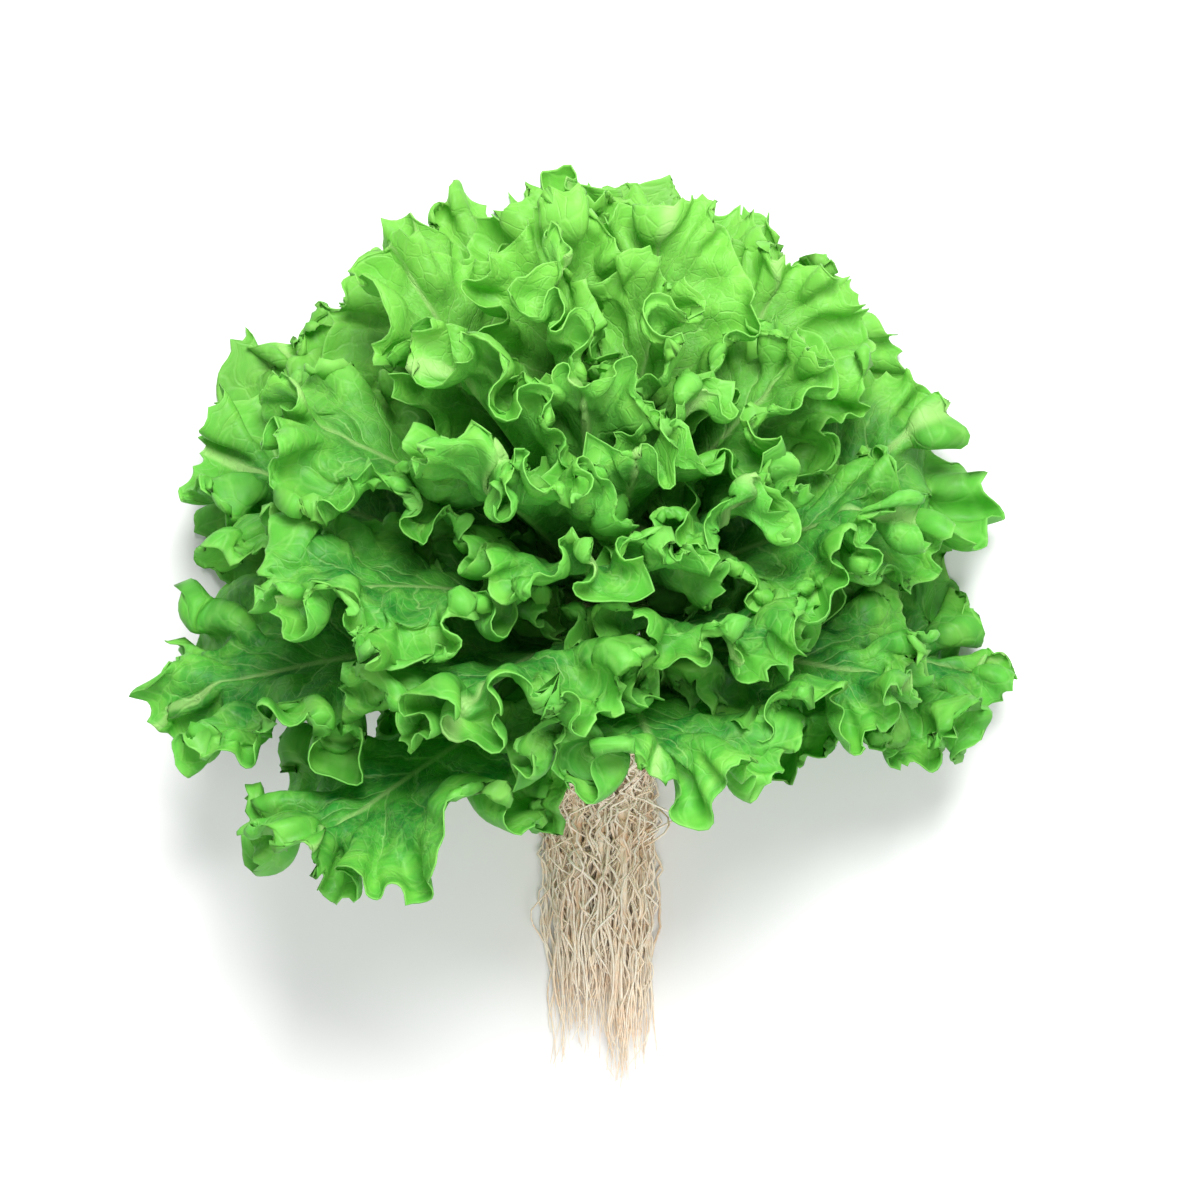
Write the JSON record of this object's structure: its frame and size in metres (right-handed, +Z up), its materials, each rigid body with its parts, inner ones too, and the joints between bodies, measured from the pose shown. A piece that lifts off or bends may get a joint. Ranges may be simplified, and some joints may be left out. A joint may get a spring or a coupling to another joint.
{
  "type": "green leaf lettuce",
  "caption": "Whole frilly green leaf lettuce lifted with its fibrous roots, lying on its side.",
  "frame": {"origin": "middle of the plant's footprint, on the surface it lies on", "axes": "+Z up from the surface; +Y towards the top of the head, with the roots trailing towards -Y; +X to the right seen from above with the head away"},
  "size_m": [0.2704, 0.288, 0.1544],
  "materials": {
    "outer_leaf": "satin",
    "middle_leaf": "satin",
    "heart_leaf": "satin",
    "stem": "satin",
    "root": "matte"
  },
  "bodies": {
    "root": {"outer_leaf_01": "outer_leaf", "outer_leaf_02": "outer_leaf", "outer_leaf_03": "outer_leaf", "outer_leaf_04": "outer_leaf", "outer_leaf_05": "outer_leaf", "outer_leaf_06": "outer_leaf", "outer_leaf_07": "outer_leaf", "outer_leaf_08": "outer_leaf", "outer_leaf_09": "outer_leaf", "outer_leaf_10": "outer_leaf", "outer_leaf_11": "outer_leaf", "outer_leaf_12": "outer_leaf", "middle_leaf_13": "middle_leaf", "middle_leaf_14": "middle_leaf", "middle_leaf_15": "middle_leaf", "middle_leaf_16": "middle_leaf", "middle_leaf_17": "middle_leaf", "middle_leaf_18": "middle_leaf", "middle_leaf_19": "middle_leaf", "middle_leaf_20": "middle_leaf", "middle_leaf_21": "middle_leaf", "middle_leaf_22": "middle_leaf", "middle_leaf_23": "middle_leaf", "middle_leaf_24": "middle_leaf", "heart_leaf_25": "heart_leaf", "heart_leaf_26": "heart_leaf", "heart_leaf_27": "heart_leaf", "heart_leaf_28": "heart_leaf", "heart_leaf_29": "heart_leaf", "heart_leaf_30": "heart_leaf", "heart_leaf_31": "heart_leaf", "heart_leaf_32": "heart_leaf", "heart_leaf_33": "heart_leaf", "heart_leaf_34": "heart_leaf", "stem_core": "stem", "root_crown": "root", "root_lock_01": "root", "root_lock_02": "root", "root_lock_03": "root", "root_lock_04": "root", "root_lock_05": "root", "root_lock_06": "root", "root_lock_07": "root", "root_lock_08": "root", "root_lock_09": "root", "root_lock_10": "root", "root_lock_11": "root", "root_lock_12": "root"}
  },
  "joints": []
}
